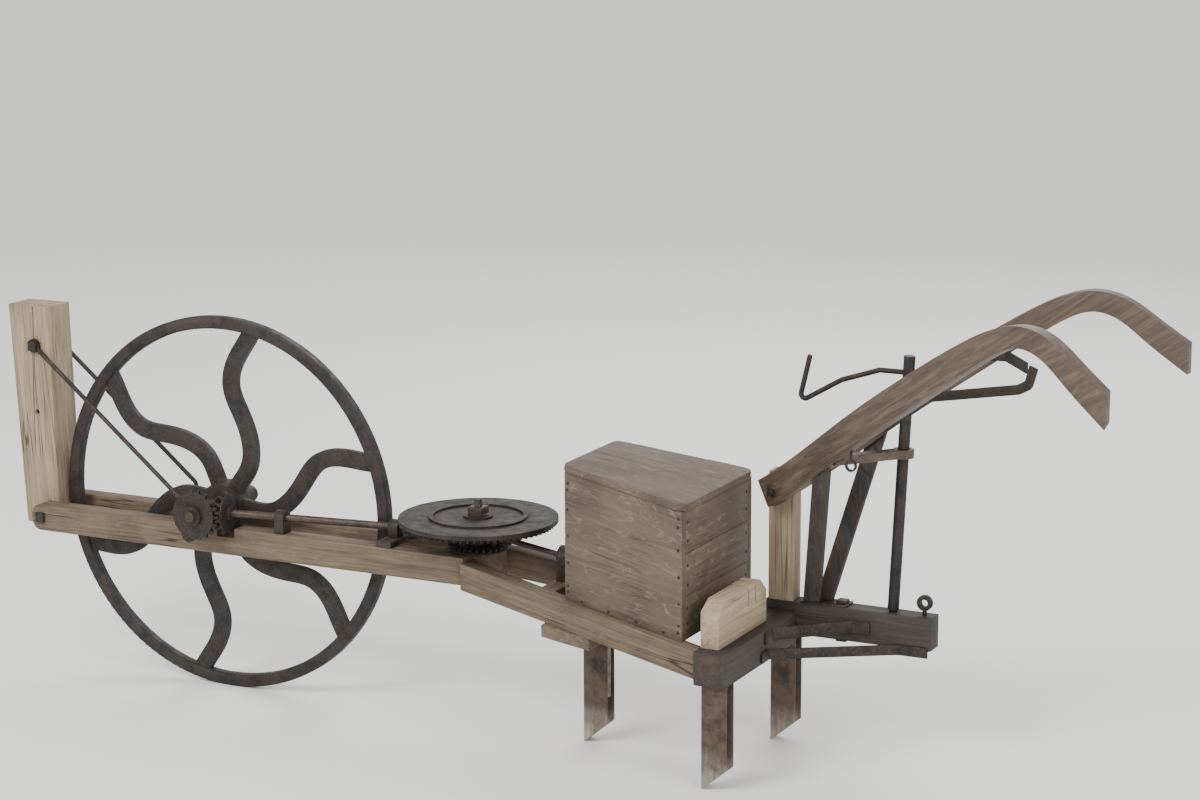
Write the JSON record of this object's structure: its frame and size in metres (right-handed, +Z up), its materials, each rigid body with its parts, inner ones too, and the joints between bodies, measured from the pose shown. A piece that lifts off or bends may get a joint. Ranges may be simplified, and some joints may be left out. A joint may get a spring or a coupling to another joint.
{
  "type": "corn planter",
  "caption": "Walking corn planter with an iron ground wheel, bevel gears, seed hopper, soil shoes and plough handles.",
  "frame": {"origin": "on the ground under the middle of the overall box", "axes": "+X forward towards the hitch post, +Y to the planter's left, +Z up"},
  "size_m": [2.865, 0.6219, 1.0861],
  "materials": {
    "pale_oak": "matte, weathered",
    "weathered_oak": "matte, weathered",
    "box_pine": "matte, worn paint traces",
    "dark_oak": "matte, weathered",
    "handle_ash": "satin, hand-worn",
    "dark_iron": "matte, oxidised",
    "cast_wheel_iron": "matte, rusted",
    "rod_iron": "matte, oxidised",
    "shaft_iron": "satin, worn",
    "shoe_iron": "satin, soil-polished",
    "tube_tin": "satin"
  },
  "bodies": {
    "frame": {"axle_bearings": "dark_iron", "beam_eye_bolt": "dark_iron", "bearing_crosspiece": "weathered_oak", "brace_left": "dark_oak", "brace_right": "dark_oak", "bracket_sill": "weathered_oak", "coverer_left": "shoe_iron", "coverer_right": "shoe_iron", "foot_plate": "dark_iron", "frame_bolts": "dark_iron", "front_rail_left": "weathered_oak", "front_rail_right": "weathered_oak", "guide_arm": "handle_ash", "handle_left": "handle_ash", "handle_right": "handle_ash", "handle_ring": "dark_iron", "handle_rung": "handle_ash", "handle_standard": "pale_oak", "hinge_wall_leaves": "dark_iron", "hitch_post": "pale_oak", "hopper_back": "box_pine", "hopper_floor": "box_pine", "hopper_front": "box_pine", "hopper_left": "box_pine", "hopper_right": "box_pine", "inner_strap": "dark_iron", "keeper_strap": "dark_iron", "king_block": "weathered_oak", "king_bolt": "shaft_iron", "long_strap": "dark_iron", "notched_block": "pale_oak", "opener_crossbar": "weathered_oak", "opener_shoe": "shoe_iron", "post_stay_left": "dark_iron", "post_stay_right": "dark_iron", "rear_rail_left": "weathered_oak", "rear_rail_right": "weathered_oak", "rear_sill": "dark_oak", "seed_tube": "tube_tin", "shaft_bearings": "dark_iron", "shaft_bracket": "dark_iron", "tail_beam": "dark_oak"},
    "wheel": {"ground_wheel": "cast_wheel_iron", "axle": "shaft_iron", "axle_collars": "dark_iron", "axle_gear": "cast_wheel_iron"},
    "drive_shaft": {"drive_shaft": "shaft_iron", "shaft_pinion": "cast_wheel_iron", "drive_pinion": "cast_wheel_iron"},
    "crown": {"crown_wheel": "cast_wheel_iron", "seed_gear": "cast_wheel_iron"},
    "seed_shaft": {"seed_shaft": "shaft_iron", "seed_pinion": "cast_wheel_iron", "seed_roller": "handle_ash"},
    "tiller": {"turning_rod": "rod_iron", "front_lever": "rod_iron", "tiller_arm": "rod_iron"},
    "lid": {"lid": "box_pine", "hinge_lid_leaves": "dark_iron"}
  },
  "joints": [
    {"name": "wheel_turn", "type": "hinge", "parent": "frame", "child": "wheel", "pos_m": [0.8355, 0, 0.457], "axis": [0, 1, 0], "continuous": true},
    {"name": "drive_shaft_turn", "type": "hinge", "parent": "frame", "child": "drive_shaft", "pos_m": [0.8355, 0.095, 0.457], "axis": [-0.9907, -0.136, 0], "continuous": true},
    {"name": "crown_turn", "type": "hinge", "parent": "frame", "child": "crown", "pos_m": [0.1435, 0, 0.457], "axis": [0, 0, 1], "continuous": true},
    {"name": "seed_shaft_turn", "type": "hinge", "parent": "frame", "child": "seed_shaft", "pos_m": [0.1435, 0, 0.462], "axis": [-0.9889, 0, -0.1483], "continuous": true},
    {"name": "tiller_turn", "type": "hinge", "parent": "frame", "child": "tiller", "pos_m": [-0.8005, -0.197, 0.236], "axis": [0.0494, 0, -0.9988], "range_deg": [0, 35]},
    {"name": "lid_hinge", "type": "hinge", "parent": "frame", "child": "lid", "pos_m": [-0.1489, -0.13755, 0.66234], "axis": [0.9748, 0.1682, 0.1462], "range_deg": [0, 100]}
  ],
  "couplings": [
    {"joint": "drive_shaft_turn", "follows": "wheel_turn", "ratio": -1.2},
    {"joint": "crown_turn", "follows": "wheel_turn", "ratio": -0.17143},
    {"joint": "seed_shaft_turn", "follows": "wheel_turn", "ratio": -0.6}
  ]
}
